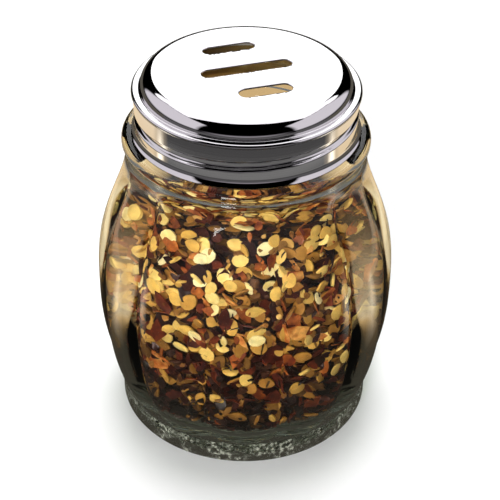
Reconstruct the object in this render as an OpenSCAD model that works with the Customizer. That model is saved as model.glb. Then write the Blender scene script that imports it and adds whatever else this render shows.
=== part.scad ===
// Glass table shaker with a slotted screw lid, filled with crushed pepper.
// Millimetres, +Z up. The origin is the middle of the foot, on the table.
// Azimuths are counted from the front, -Y, and grow counter-clockwise seen from above.

/* [Jar body] */
// How far the plain foot stands out of the lobe crests that end on it
foot_step = 0.2; // [0.1:0.1:1]
// Height of the plain foot
foot_h = 6.4; // [3:0.2:10]
// Rounding of the foot's lower edge
foot_round = 0.8; // [0.4:0.1:2.5]
// Width of the rim that the foot stands on, round the hollow under it
foot_rim_w = 6; // [4:0.5:12]
// Depth of the hollow under the foot
punt_h = 1.6; // [0.5:0.1:3]
// Largest radius of the body, over the lobe crests
body_r = 37; // [34:0.5:46]
// Height of the largest radius
body_z = 33.5; // [26:0.5:42]
// How far the lobe crests draw in, from the largest radius down to the foot
base_draw = 5.2; // [3:0.1:8]
// Number of lobes round the body
lobe_count = 12; // [10:1:16]
// Distance of each lobe's own axis from the jar's axis
lobe_axis_r = 19; // [8:0.5:20]
// Thickness of the glass over the lobe crests
wall_t = 2.8; // [2.6:0.1:6]
// Thickness of the glass floor
floor_t = 7; // [5:0.5:12]
// Rounding inside, where the wall meets the floor
floor_round = 7; // [4:0.5:10]

/* [Jar neck] */
// Height of the glass rim
jar_h = 89; // [84:0.5:110]
// Height of the threaded finish, from the ledge under the lid to the rim
finish_h = 10.4; // [9:0.1:14]
// Radius of the finish, without its thread
finish_r = 24.7; // [22:0.1:27]
// Thickness of the glass at the finish
finish_wall_t = 2.8; // [2:0.1:4]
// Rounding of the rim's edges
lip_round = 0.7; // [0.2:0.1:1.2]
// How far the bead under the lid stands out of the lid's hem
bead_out = 2.4; // [1.5:0.1:4]
// Height of the bead
bead_h = 2.9; // [1.6:0.1:4]
// How far the neck under the bead lies inside it
neck_in = 0.7; // [0.3:0.1:1.2]
// Height of the plain neck under the bead
neck_h = 2.7; // [1:0.1:6]
// Thickness of the glass where the throat begins to narrow
throat_wall_t = 4.6; // [3.6:0.1:6]
// Height of the throat, from there to the ledge
throat_h = 6.5; // [3:0.5:9]

/* [Screw thread] */
// Rise of the thread in one turn
thread_pitch = 4.2; // [3.6:0.1:5]
// Height of the glass thread over the finish
ridge_h = 1; // [0.8:0.1:1.4]
// Width of the glass thread at its root
ridge_w = 2; // [1.2:0.1:2.2]
// Width of the glass thread at its crest
ridge_crest_w = 0.8; // [0.4:0.1:1]
// Width of the lid's groove at its mouth
groove_w = 2.5; // [2:0.1:2.7]
// Width of the lid's groove at its floor
groove_floor_w = 1.1; // [0.6:0.1:1.3]
// Radial room between the lid and the glass, at crest and root alike
thread_gap = 0.4; // [0.3:0.05:0.5]
// Height of the groove's middle at the front, above the skirt's lower edge
groove_rise = 5.7; // [5.2:0.1:6.2]

/* [Lid] */
// Thickness of the sheet steel
sheet_t = 0.4; // [0.3:0.05:0.5]
// Gap between the skirt's lower edge and the ledge on the glass
skirt_gap = 0.4; // [0.2:0.1:1]
// How far the hem stands out of the skirt
hem_out = 0.8; // [0.3:0.1:1.2]
// Rounding of the hem
hem_round = 0.5; // [0.35:0.05:0.7]
// Height of the flare above the hem's middle
flare_h = 1.8; // [1.2:0.1:2.4]
// How far the rolled rim stands out of the skirt
rim_out = 0.5; // [0.3:0.1:1]
// Rounding of the rolled rim
rim_round = 0.6; // [0.55:0.05:1]
// How far the dome's side lies inside the skirt, behind the flat ledge
dome_step = 1.5; // [0.9:0.1:2]
// Height of the dome over the rolled rim
dome_h = 4.6; // [4:0.1:7]
// Rounding of the dome's shoulder
dome_round = 3.5; // [1.5:0.1:3.8]
// Rise of the crowned top over its edge
crown_h = 0.9; // [0.4:0.1:1.2]

/* [Slots] */
// Width of each slot
slot_w = 3.6; // [2:0.1:5]
// Length of the middle slot
slot_mid_l = 21.8; // [10:0.2:30]
// Length of the two outer slots
slot_side_l = 12.6; // [6:0.2:16]
// Distance between neighbouring slots
slot_pitch = 10.7; // [6:0.1:12]
// How far the outer slots are shifted along their length, opposite ways
slot_shift = 1.2; // [0:0.1:4]
// Turn of the slots from +X
slot_turn = 17.5; // [-90:0.5:90]

/* [Gasket and contents] */
// Thickness of the sealing ring
gasket_t = 1; // [0.6:0.1:2]
// Radial room round the sealing ring
gasket_gap = 0.3; // [0.2:0.05:0.5]
// Gap between the sealing ring and the lid
seat_gap = 0.05; // [0.02:0.01:0.2]
// Level of the contents in the middle, below the ledge under the lid
fill_drop = 8.6; // [7:0.1:30]
// How far the heap drops from the middle to the wall
fill_crown = 2; // [0.5:0.5:4]
// Room between the glass and the flakes that lie against it with their corners
fill_gap = 0.7; // [0.2:0.1:1]
// Depth of the hollows between the flakes that lie against the glass
hollow_h = 2; // [0.5:0.1:2.5]
// Number of hollows in each row round the contents
hollow_count = 28; // [16:1:32]

/* [Hidden] */
$fn = 96;

// Overrun of cuts, and how deep a thread's faded end and its root are sunk
over = 0.3;
root_sink = 2 * over;
// Steps of a thread in one turn, rings up the body and steps across one lobe
thread_steps = 48;
body_rings = 24;
lobe_steps = 6;
// Steps of the three arcs up the inside of the glass and up the contents, and rings of the heap's top
bore_steps = [10, 10, 10];
fill_steps = [2, 8, 10];
heap_rings = 4;
// Powers of the body's curve under and over its middle, and of the lobes' fading at the neck
base_power = 2.25;
shoulder_power = 3;
lobe_fade_power = 8;
// How deep the lid's inner thread is rooted in the sheet, at its root and at its faded ends
bead_root_share = 0.75;
bead_flat_share = 0.5;
// Ends of the lid's groove and of the glass thread, and the angle over which each end fades
groove_start = -230;
groove_end = 100;
ridge_start = -40;
ridge_end = 415;
fade_angle = 30;

// Heights on the jar
ledge_z = jar_h - finish_h;
bead_z = ledge_z - bead_h / 2;
neck_z = ledge_z - bead_h - neck_h;
throat_z = ledge_z - throat_h;

// Heights on the lid
skirt_z = ledge_z + skirt_gap;
hem_z = skirt_z + hem_round;
flare_z = hem_z + flare_h;
gasket_top_z = jar_h + gasket_t;
seat_z = gasket_top_z + seat_gap;
rim_z = seat_z + sheet_t - rim_round;
dome_z = seat_z + sheet_t + dome_h;

// Radii of the foot, from the body above it
body_base_r = body_r - base_draw;
foot_r = body_base_r + foot_step;
punt_r = foot_r - foot_rim_w;

// Radii of the lid, all from the glass finish that it screws on to
ridge_r = finish_r + ridge_h;
skirt_in_r = ridge_r + thread_gap;
skirt_r = skirt_in_r + sheet_t;
hem_r = skirt_r + hem_out;
rim_r = skirt_r + rim_out;
dome_r = skirt_r - dome_step;
groove_floor_r = finish_r + thread_gap + sheet_t;
bead_root_r = skirt_in_r + sheet_t * bead_root_share;

// Radii of the neck, from the lid that it carries
mouth_r = finish_r - finish_wall_t;
bead_r = hem_r + bead_out;
neck_r = bead_r - neck_in;
throat_r = neck_r - throat_wall_t;

// Radius of the arc that leaves a vertical tangent and moves dr sideways in a height of dz
function arc_r(dr, dz) = (dr * dr + dz * dz) / (2 * dr);

// Sideways place of a circle of radius r at height z that touches, from inside, one of radius big_r
function touch_x(big_x, big_z, big_r, r, z) = big_x + sqrt(pow(big_r - r, 2) - pow(z - big_z, 2));

// Full depth along a thread, from 0 at its ends to 1 past the fade
function fade(a, a0, a1) = max(0, min(1, (a - a0) / fade_angle, (a1 - a) / fade_angle));

// Point at azimuth a from the front
function ring_point(r, a, z) = [r * sin(a), -r * cos(a), z];

// Half width of the lid's thread inside, where the sheet follows the groove
groove_depth = skirt_r - groove_floor_r;
groove_slope = (groove_w - groove_floor_w) / 2 / groove_depth;
groove_side_w = sheet_t * sqrt(1 + groove_slope * groove_slope);
function bead_half(r) = groove_floor_w / 2 + groove_slope * (r - groove_floor_r) + groove_side_w;

// Radius of the body over its crests at height z, and at azimuth a from a crest
function share_under(z) = pow((body_z - z) / (body_z - foot_h), base_power);
function share_over(z) = pow(1 - pow((z - body_z) / (neck_z - body_z), shoulder_power), 2);
function crest_r(z) =
    z < body_z ? body_r - base_draw * share_under(z)
    : z < neck_z ? neck_r + (body_r - neck_r) * share_over(z)
    : neck_r;
function round_r(a, r) = lobe_axis_r * cos(a) + sqrt(pow(r - lobe_axis_r, 2) - pow(lobe_axis_r * sin(a), 2));
function lobe_share(z) = z < body_z ? 1 : max(0, 1 - pow((z - body_z) / (neck_z - body_z), lobe_fade_power));
function lobe_r(a, z) = crest_r(z) + (round_r(a, crest_r(z)) - crest_r(z)) * lobe_share(z);

// Arcs of the inside
bore_r = body_r - wall_t;
bore_low_arc = arc_r(base_draw, body_z - floor_t);
bore_top_arc = arc_r(bore_r - throat_r, throat_z - body_z);
bore_mid_x = bore_r - bore_low_arc;
bore_top_x = bore_r - bore_top_arc;
corner_z = floor_t + floor_round;
corner_x = touch_x(bore_mid_x, body_z, bore_low_arc, floor_round, corner_z);
corner_turn = atan2(corner_z - body_z, corner_x - bore_mid_x);

// Points of an arc after its first one
function arc_points(x, z, r, a0, a1, steps) =
    [for (i = [1:steps]) let (a = a0 + (a1 - a0) * i / steps) [x + r * cos(a), z + r * sin(a)]];

// Points up the inside of the glass, from the edge of the flat floor to the height top, moved in by gap
function bore_points(gap, top, steps) =
    let (top_turn = asin((top - body_z) / (bore_top_arc - gap)))
    concat(
        [[corner_x, floor_t + gap]],
        arc_points(corner_x, corner_z, floor_round - gap, -90, corner_turn, steps[0]),
        arc_points(bore_mid_x, body_z, bore_low_arc - gap, corner_turn, 0, steps[1]),
        arc_points(bore_top_x, body_z, bore_top_arc - gap, 0, top_turn, steps[2]));

// Crowned top of the lid: one wide arc that runs into the shoulder's arc
dome_x = dome_r - dome_round;
crown_arc = (dome_x * dome_x + crown_h * crown_h) / (2 * crown_h);
crown_z = dome_z - crown_arc;
dome_round_z = crown_z + sqrt(pow(crown_arc - dome_round, 2) - dome_x * dome_x);
crown_x = dome_x * crown_arc / (crown_arc - dome_round);

// Contents: level in the middle and at the wall, and the ring of points at the wall's edge
fill_z = ledge_z - fill_drop;
fill_edge_z = fill_z - fill_crown;
fill_edge_ring = fill_steps[0] + fill_steps[1] + fill_steps[2];

// Points up the outside of the contents and on over the heap, moved in from the glass by gap
function fill_points(gap) =
    let (side = bore_points(gap, fill_edge_z, fill_steps), edge_r = side[len(side) - 1][0])
    concat(side, [for (i = [1:heap_rings - 1])
        let (share = 1 - i / heap_rings)
        [edge_r * share, fill_z - fill_crown * share * share]]);

// 1 at the bottom of a hollow in the contents, else 0: every second ring and point, staggered
function hollow_share(ring, point) =
    ring % 2 == 1 && ring < fill_edge_ring && (point + floor(ring / 2)) % 2 == 0 ? 1 : 0;

// Square between two corners
module box2d(x0, z0, x1, z1) {
    translate([x0, z0]) square([x1 - x0, z1 - z0]);
}

// Circle at a place of a section
module disc2d(x, z, r) {
    translate([x, z]) circle(r);
}

// Screw thread: a strip with four corners to its section, swept along a helix.
// root_r is sunk in the wall that carries it, and the tip moves from flat_r to tip_r past the fade.
module thread(root_r, flat_r, tip_r, root_half, tip_half, mid_z, a0, a1) {
    steps = ceil((a1 - a0) / 360 * thread_steps);
    rings = [for (i = [0:steps])
        let (a = a0 + (a1 - a0) * i / steps)
        let (z = mid_z + thread_pitch * a / 360)
        let (r = flat_r + (tip_r - flat_r) * fade(a, a0, a1))
        [ring_point(root_r, a, z - root_half), ring_point(r, a, z - tip_half),
         ring_point(r, a, z + tip_half), ring_point(root_r, a, z + root_half)]];
    points = [for (ring = rings) each ring];
    // Outward threads and inward ones wind their faces opposite ways
    turn = tip_r > root_r ? 1 : -1;
    sides = [for (i = [0:steps - 1], k = [0:3])
        let (a = 4 * i + k, b = 4 * i + (k + 1) % 4)
        each [[a, b, b + 4], [a, b + 4, a + 4]]];
    last = 4 * steps;
    ends = [[0, 2, 1], [0, 3, 2], [last, last + 1, last + 2], [last, last + 2, last + 3]];
    faces = [for (f = concat(sides, ends)) turn > 0 ? f : [f[2], f[1], f[0]]];
    polyhedron(points, faces);
}

// Barrel of lobes between the foot and the bead: rings of points that follow the body's curve
module lobes() {
    around = lobe_count * lobe_steps;
    low = foot_h - over;
    heights = [for (i = [0:body_rings]) low + (bead_z - low) * i / body_rings];
    points = [for (z = heights, j = [0:around - 1])
        let (a = j * 360 / around, from_crest = (j % lobe_steps) * 360 / around)
        ring_point(lobe_r(min(from_crest, 360 / lobe_count - from_crest), z), a, z)];
    sides = [for (i = [0:body_rings - 1], j = [0:around - 1])
        let (a = i * around + j, b = i * around + (j + 1) % around)
        each [[a, b + around, b], [a, a + around, b + around]]];
    base = [for (j = [0:around - 1]) j];
    top = [for (j = [0:around - 1]) around * (body_rings + 1) - 1 - j];
    polyhedron(points, concat(sides, [base, top]));
}

// Section of the plain foot, with a rounded lower edge
module foot_section() {
    box2d(0, 0, foot_r - foot_round, foot_h);
    box2d(0, foot_round, foot_r, foot_h);
    disc2d(foot_r - foot_round, foot_round, foot_round);
}

// Section of the neck, the bead and the finish, with a rounded rim
module neck_section() {
    intersection() {
        disc2d(bead_r - bead_h / 2, bead_z, bead_h / 2);
        box2d(0, bead_z - bead_h / 2, bead_r, ledge_z);
    }
    box2d(0, bead_z - bead_h / 2, bead_r - bead_h / 2, ledge_z);
    box2d(0, bead_z, finish_r, jar_h - lip_round);
    box2d(0, bead_z, finish_r - lip_round, jar_h);
    disc2d(finish_r - lip_round, jar_h - lip_round, lip_round);
}

// Section of the inside of the jar, through the throat and out of the mouth
module bore_section() {
    mouth = [[mouth_r, ledge_z], [mouth_r, jar_h + over], [0, jar_h + over]];
    polygon(concat([[0, floor_t]], bore_points(0, throat_z, bore_steps), mouth));
}

// Section of the hollow under the foot
module punt_section() {
    intersection() {
        disc2d(0, punt_h - arc_r(punt_h, punt_r), arc_r(punt_h, punt_r));
        box2d(0, -over, punt_r, punt_h);
    }
}

// Pressed glass jar
module glass_jar() {
    color([0.82, 0.86, 0.8, 0.4])
    difference() {
        union() {
            lobes();
            rotate_extrude() {
                foot_section();
                neck_section();
            }
            thread(finish_r - root_sink, finish_r - over, ridge_r, ridge_w / 2 + over, ridge_crest_w / 2,
                skirt_z + groove_rise - thread_pitch / 2, ridge_start, ridge_end);
        }
        rotate_extrude() bore_section();
        rotate_extrude() punt_section();
    }
}

// Section of the lid, inset by the sheet for its inside
module lid_section(inset) {
    // Crowned top, shoulder and side of the dome
    intersection() {
        disc2d(0, crown_z, crown_arc - inset);
        box2d(0, dome_round_z, crown_x, dome_z);
    }
    disc2d(dome_x, dome_round_z, dome_round - inset);
    box2d(0, rim_z, dome_r - inset, dome_round_z);
    // Rolled rim
    disc2d(rim_r - rim_round, rim_z, rim_round - inset);
    box2d(0, rim_z - rim_round + inset, rim_r - rim_round, rim_z + rim_round - inset);
    // Skirt and its flare
    box2d(0, flare_z, skirt_r - inset, rim_z);
    difference() {
        box2d(0, hem_z, hem_r - inset, flare_z);
        disc2d(skirt_r + arc_r(hem_out, flare_h), flare_z, arc_r(hem_out, flare_h) + inset);
    }
}

// Obround slot of length l, cut through the top
module slot(l) {
    translate([0, 0, rim_z + rim_round]) linear_extrude(dome_h + over) {
        square([l - slot_w, slot_w], center = true);
        for (side = [-1, 1]) translate([side * (l - slot_w) / 2, 0]) circle(slot_w / 2);
    }
}

// Three slots side by side, the middle one longest
module slots() {
    rotate([0, 0, slot_turn]) {
        slot(slot_mid_l);
        for (side = [-1, 1]) translate([side * -slot_shift, side * slot_pitch, 0]) slot(slot_side_l);
    }
}

// Pressed steel lid, chromium plated
module lid() {
    color("silver")
    difference() {
        union() {
            rotate_extrude() {
                difference() {
                    lid_section(0);
                    lid_section(sheet_t);
                    box2d(0, hem_z - over, skirt_in_r, hem_z + over);
                }
                disc2d(hem_r - hem_round, hem_z, hem_round);
            }
            // The thread inside, which the groove outside follows
            thread(bead_root_r, skirt_in_r + sheet_t * bead_flat_share, groove_floor_r - sheet_t,
                bead_half(bead_root_r), bead_half(groove_floor_r - sheet_t),
                skirt_z + groove_rise, groove_start, groove_end);
        }
        thread(skirt_r + root_sink, skirt_r + over, groove_floor_r,
            groove_w / 2 + groove_slope * root_sink, groove_floor_w / 2,
            skirt_z + groove_rise, groove_start, groove_end);
        slots();
    }
}

// Sealing ring between the glass rim and the lid
module rim_gasket() {
    color("whitesmoke")
    rotate_extrude() box2d(mouth_r, jar_h, skirt_in_r - gasket_gap, gasket_top_z);
}

// Heap of crushed pepper flakes and seeds: rings of points up the wall and over the top
module pepper_fill() {
    near = fill_points(fill_gap);
    deep = fill_points(fill_gap + hollow_h);
    around = 2 * hollow_count;
    last = len(near) - 1;
    rings = [for (i = [0:last], j = [0:around - 1])
        let (p = near[i] + (deep[i] - near[i]) * hollow_share(i, j))
        ring_point(p[0], j * 360 / around, p[1])];
    poles = [[0, 0, floor_t + fill_gap], [0, 0, fill_z]];
    sides = [for (i = [0:last - 1], j = [0:around - 1])
        let (a = i * around + j, b = i * around + (j + 1) % around)
        each [[a, b + around, b], [a, a + around, b + around]]];
    floor_fan = [for (j = [0:around - 1]) [len(rings), j, (j + 1) % around]];
    top_fan = [for (j = [0:around - 1])
        [len(rings) + 1, last * around + (j + 1) % around, last * around + j]];
    color("saddlebrown")
    polyhedron(concat(rings, poles), concat(sides, floor_fan, top_fan));
}

glass_jar();
lid();
rim_gasket();
pepper_fill();
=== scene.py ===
"""Looks of a lobed glass table shaker with a slotted screw lid, filled with crushed pepper.

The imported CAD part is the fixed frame. Each class below builds one sub-assembly around it, in metres.
Azimuths are counted from the front, -Y, and grow counter-clockwise seen from above.
"""

import logging
import math
import random
from collections.abc import Callable, Sequence
from dataclasses import dataclass, field
from enum import Enum

import bmesh
import bpy
from bmesh.types import BMesh, BMVert
from bpy.types import Material, Mesh, Node, NodeSocket, Object, ShaderNodeTree
from mathutils import Matrix, Vector, noise


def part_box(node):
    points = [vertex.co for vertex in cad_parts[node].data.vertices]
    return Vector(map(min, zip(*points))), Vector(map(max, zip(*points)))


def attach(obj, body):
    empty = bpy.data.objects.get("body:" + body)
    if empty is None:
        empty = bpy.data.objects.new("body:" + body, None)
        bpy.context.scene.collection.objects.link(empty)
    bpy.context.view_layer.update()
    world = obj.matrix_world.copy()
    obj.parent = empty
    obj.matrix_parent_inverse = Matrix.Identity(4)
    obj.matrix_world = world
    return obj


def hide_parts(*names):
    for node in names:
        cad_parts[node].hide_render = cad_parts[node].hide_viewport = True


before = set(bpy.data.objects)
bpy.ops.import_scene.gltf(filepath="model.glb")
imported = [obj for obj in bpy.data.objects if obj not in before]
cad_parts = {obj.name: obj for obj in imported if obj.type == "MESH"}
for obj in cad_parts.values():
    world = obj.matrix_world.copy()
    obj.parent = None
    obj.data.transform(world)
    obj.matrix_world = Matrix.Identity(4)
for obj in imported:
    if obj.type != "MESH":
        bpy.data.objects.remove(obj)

log = logging.getLogger("shaker")

MM = 0.001
MERGE_DISTANCE = 1e-4 * MM
NEAR = 0.01 * MM
SHARP_ANGLE = 60.0

Place = tuple[float, float, float]
Shade = tuple[float, float, float]
Colour = tuple[float, float, float, float]
Stops = tuple[tuple[float, Shade], ...]


class Body(Enum):
    """The CAD bodies that pieces ride on."""

    JAR = "jar"
    RING = "sealing_ring"
    LID = "screw_lid"


class Slot(Enum):
    """The record's material slots."""

    GLASS = "glass"
    CHROME = "chrome"
    GASKET = "gasket"
    PEPPER = "pepper"


class Kind(Enum):
    """The kinds of pieces that the contents are made of, and the names of their meshes."""

    SEEDS = "pepper_seeds"
    SKINS = "pepper_skins"
    CRUMBS = "pepper_crumbs"


def arc_radius(sideways: float, along: float) -> float:
    """Radius of the arc that leaves a tangent and moves sideways within a length along it.

    Args:
        sideways: How far the arc moves off the tangent.
        along: The length along the tangent.

    Returns:
        The arc's radius.
    """
    return (sideways * sideways + along * along) / (2 * sideways)


def smooth_step(value: float) -> float:
    """Eases a value that is limited to 0 to 1."""
    t = max(0.0, min(1.0, value))
    return t * t * (3 - 2 * t)


def azimuth_of(point: Vector) -> float:
    """Azimuth of a point from the front, in degrees."""
    return math.degrees(math.atan2(point.x, -point.y))


class Outline:
    """Points of a section, as radius and height, in the order in which they are drawn."""

    def __init__(self, radius: float, height: float) -> None:
        """Starts the outline at a point."""
        self.points: list[tuple[float, float]] = [(radius, height)]

    def line(self, radius: float, height: float, steps: int = 1) -> "Outline":
        """Draws a straight line in equal steps.

        Args:
            radius: Radius at the line's end.
            height: Height at the line's end.
            steps: Number of points on the line after its start.

        Returns:
            The outline itself.
        """
        r0, z0 = self.points[-1]
        for i in range(1, steps + 1):
            self.points.append((r0 + (radius - r0) * i / steps, z0 + (height - z0) * i / steps))
        return self

    def arc(
        self, centre: tuple[float, float], radius: float, turn: tuple[float, float], steps: int
    ) -> "Outline":
        """Draws an arc, with a line to its start where the outline isn't there yet.

        Args:
            centre: Radius and height of the arc's centre.
            radius: The arc's own radius.
            turn: First and last angle in degrees, 0 outwards and 90 up.
            steps: Number of points after the first.

        Returns:
            The outline itself.
        """
        for i in range(steps + 1):
            a = math.radians(turn[0] + (turn[1] - turn[0]) * i / steps)
            point = (centre[0] + radius * math.cos(a), centre[1] + radius * math.sin(a))
            if math.dist(point, self.points[-1]) > MERGE_DISTANCE:
                self.points.append(point)
        return self

    def follow(
        self, radius_at: Callable[[float], float], start: float, end: float, steps: int
    ) -> "Outline":
        """Draws a curve whose radius is known at each height.

        Args:
            radius_at: Gives the radius at a height.
            start: First height.
            end: Last height.
            steps: Number of points after the first.

        Returns:
            The outline itself.
        """
        for i in range(steps + 1):
            z = start + (end - start) * i / steps
            if math.dist((radius_at(z), z), self.points[-1]) > MERGE_DISTANCE:
                self.points.append((radius_at(z), z))
        return self

    def spun(self, segments: int, closed: bool = False) -> BMesh:
        """Spins the outline round the Z axis.

        Args:
            segments: Number of segments in the full turn.
            closed: Whether the last point joins the first, as in a ring's section.

        Returns:
            A closed mesh with its faces pointing outwards.
        """
        bm = bmesh.new()
        row = [bm.verts.new((r, 0, z)) for r, z in self.points]
        pairs = list(zip(row, row[1:])) + ([(row[-1], row[0])] if closed else [])
        for pair in pairs:
            bm.edges.new(pair)
        bmesh.ops.spin(
            bm, geom=bm.verts[:] + bm.edges[:], cent=(0, 0, 0), axis=(0, 0, 1), dvec=(0, 0, 0),
            angle=math.tau, steps=segments, use_merge=True, use_duplicate=False,
        )
        bmesh.ops.remove_doubles(bm, verts=bm.verts[:], dist=MERGE_DISTANCE)
        bmesh.ops.recalc_face_normals(bm, faces=bm.faces[:])
        return bm


def move_out(vert: BMVert, distance: float) -> None:
    """Moves a vertex away from the Z axis."""
    r = math.hypot(vert.co.x, vert.co.y)
    vert.co.xy = vert.co.xy * ((r + distance) / r)


def mesh_from(bm: BMesh, name: str, sharp_angle: float = SHARP_ANGLE) -> Mesh:
    """Turns a bmesh into a smooth mesh with sharp edges.

    Args:
        bm: The bmesh, which is freed.
        name: The mesh's name.
        sharp_angle: Edges over this angle, in degrees, stay sharp.

    Returns:
        The mesh.
    """
    mesh = bpy.data.meshes.new(name)
    bm.to_mesh(mesh)
    bm.free()
    mesh.shade_smooth()
    mesh.set_sharp_from_angle(angle=math.radians(sharp_angle))
    return mesh


def add_piece(mesh: Mesh, finish: Material, body: Body, node: str) -> Object:
    """Puts a mesh into the scene as a piece of the object.

    Args:
        mesh: The piece's mesh, whose name the piece takes.
        finish: Its material.
        body: The CAD body that it rides on.
        node: The CAD node that it stands for.

    Returns:
        The piece.
    """
    mesh.materials.clear()
    mesh.materials.append(finish)
    piece = bpy.data.objects.new(mesh.name, mesh)
    bpy.context.scene.collection.objects.link(piece)
    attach(piece, body.value)
    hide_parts(node)
    log.info("%s: %d faces on %s", piece.name, len(mesh.polygons), body.value)
    return piece


class NodeSheet:
    """Short calls for placing and joining the nodes of one tree."""

    def __init__(self, tree: ShaderNodeTree) -> None:
        """Takes the tree to work in."""
        self.tree = tree

    def add(self, kind: str, **values: object) -> Node:
        """Places a node.

        Args:
            kind: The node's type without the word ShaderNode.
            values: Properties of the node, such as its operation.

        Returns:
            The node.
        """
        made = self.tree.nodes.new("ShaderNode" + kind)
        for name, value in values.items():
            setattr(made, name, value)
        return made

    def set(self, node: Node, **values: object) -> Node:
        """Sets inputs of a node by name, with underscores for spaces.

        Args:
            node: The node.
            values: Numbers and colours to set, or sockets to join.

        Returns:
            The node.
        """
        for name, value in values.items():
            self.feed(node.inputs[name.replace("_", " ")], value)
        return node

    def feed(self, socket: NodeSocket, value: object) -> None:
        """Joins a socket to another, or sets its value.

        Args:
            socket: The input.
            value: The socket that feeds it, or its number or colour.
        """
        if isinstance(value, NodeSocket):
            self.tree.links.new(value, socket)
        else:
            socket.default_value = value

    def math(self, operation: str, first: object, second: object = 0.0, third: object = 0.0) -> NodeSocket:
        """Places a Math node.

        Args:
            operation: Its operation.
            first: First number or socket.
            second: Second number or socket.
            third: Third number or socket.

        Returns:
            The result's socket.
        """
        made = self.add("Math", operation=operation)
        for socket, value in zip(made.inputs, (first, second, third)):
            self.feed(socket, value)
        return made.outputs[0]

    def mix(self, factor: object, first: object, second: object, blend: str = "MIX") -> NodeSocket:
        """Mixes two colours.

        Args:
            factor: Share of the second colour.
            first: First colour or socket.
            second: Second colour or socket.
            blend: How they are mixed.

        Returns:
            The result's socket.
        """
        made = self.add("Mix", data_type="RGBA", blend_type=blend)
        self.feed(made.inputs["Factor"], factor)
        self.feed(made.inputs["A"], first)
        self.feed(made.inputs["B"], second)
        return made.outputs["Result"]

    def blend(self, factor: object, first: NodeSocket, second: NodeSocket) -> NodeSocket:
        """Mixes two shaders.

        Args:
            factor: Share of the second shader.
            first: First shader's socket.
            second: Second shader's socket.

        Returns:
            The result's socket.
        """
        made = self.add("MixShader")
        for socket, value in zip(made.inputs, (factor, first, second)):
            self.feed(socket, value)
        return made.outputs[0]

    def ramp(self, factor: NodeSocket, stops: Stops) -> NodeSocket:
        """Places a colour ramp.

        Args:
            factor: Where on the ramp to read.
            stops: Places and colours.

        Returns:
            The colour's socket.
        """
        made = self.add("ValToRGB")
        elements = made.color_ramp.elements
        while len(elements) < len(stops):
            elements.new(1.0)
        for element, (place, colour) in zip(elements, stops):
            element.position = place
            element.color = (*colour, 1.0)
        self.feed(made.inputs["Fac"], factor)
        return made.outputs["Color"]

    def span(self, value: NodeSocket, low: float, high: float) -> NodeSocket:
        """Spreads a range of values over 0 to 1.

        Args:
            value: The value's socket.
            low: Value that becomes 0, as do all under it.
            high: Value that becomes 1, as do all over it.

        Returns:
            The result's socket.
        """
        made = self.add("MapRange")
        self.set(made, Value=value, From_Min=low, From_Max=high)
        return made.outputs["Result"]

    def place(self) -> NodeSocket:
        """Object coordinates."""
        return self.add("TexCoord").outputs["Object"]

    def noise(self, scale: float, detail: float, where: NodeSocket) -> NodeSocket:
        """Places a noise texture.

        Args:
            scale: Its scale, per metre.
            detail: Its octaves.
            where: Its coordinates.

        Returns:
            The noise value's socket.
        """
        made = self.add("TexNoise")
        self.set(made, Scale=scale, Detail=detail, Vector=where)
        return made.outputs["Fac"]


def new_material(name: str) -> tuple[Material, NodeSheet, Node, Node]:
    """Makes a material with an empty tree but for its Principled shader and output.

    Args:
        name: The material's name.

    Returns:
        The material, its nodes, the Principled shader and the output.
    """
    material = bpy.data.materials.new(name)
    material.use_nodes = True
    material.node_tree.nodes.clear()
    nodes = NodeSheet(material.node_tree)
    shader = nodes.add("BsdfPrincipled")
    output = nodes.add("OutputMaterial")
    nodes.feed(output.inputs["Surface"], shader.outputs["BSDF"])
    return material, nodes, shader, output


class MottleGroup:
    """Node group that darkens and lightens a colour in small patches, and gives their height."""

    name = "Mottle"
    octaves = 4.0
    octave_share = 0.6

    @classmethod
    def tree(cls) -> ShaderNodeTree:
        """Builds the group the first time.

        Returns:
            The group's tree.
        """
        found = bpy.data.node_groups.get(cls.name)
        if found:
            return found
        tree = bpy.data.node_groups.new(cls.name, "ShaderNodeTree")
        face = tree.interface
        face.new_socket("Color", in_out="INPUT", socket_type="NodeSocketColor")
        face.new_socket("Scale", in_out="INPUT", socket_type="NodeSocketFloat")
        face.new_socket("Amount", in_out="INPUT", socket_type="NodeSocketFloat")
        face.new_socket("Color", in_out="OUTPUT", socket_type="NodeSocketColor")
        face.new_socket("Height", in_out="OUTPUT", socket_type="NodeSocketFloat")
        nodes = NodeSheet(tree)
        given = tree.nodes.new("NodeGroupInput").outputs
        result = tree.nodes.new("NodeGroupOutput")
        texture = nodes.add("TexNoise")
        nodes.set(texture, Scale=given["Scale"], Detail=cls.octaves, Roughness=cls.octave_share)
        nodes.set(texture, Vector=nodes.place())
        height = texture.outputs["Fac"]
        swing = nodes.math("MULTIPLY", nodes.math("SUBTRACT", height, 0.5), given["Amount"])
        bright = nodes.math("ADD", nodes.math("MULTIPLY", swing, 2.0), 1.0)
        scaled = nodes.add("VectorMath", operation="SCALE")
        nodes.feed(scaled.inputs[0], given["Color"])
        nodes.feed(scaled.inputs["Scale"], bright)
        nodes.feed(result.inputs["Color"], scaled.outputs[0])
        nodes.feed(result.inputs["Height"], height)
        return tree

    @classmethod
    def placed(cls, nodes: NodeSheet, colour: object, scale: float, amount: float) -> Node:
        """Places the group in a material.

        Args:
            nodes: The material's nodes.
            colour: The colour to mottle.
            scale: Patches per metre.
            amount: How strongly they show.

        Returns:
            The group's node.
        """
        made = nodes.add("Group")
        made.node_tree = cls.tree()
        return nodes.set(made, Color=colour, Scale=scale, Amount=amount)


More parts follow.
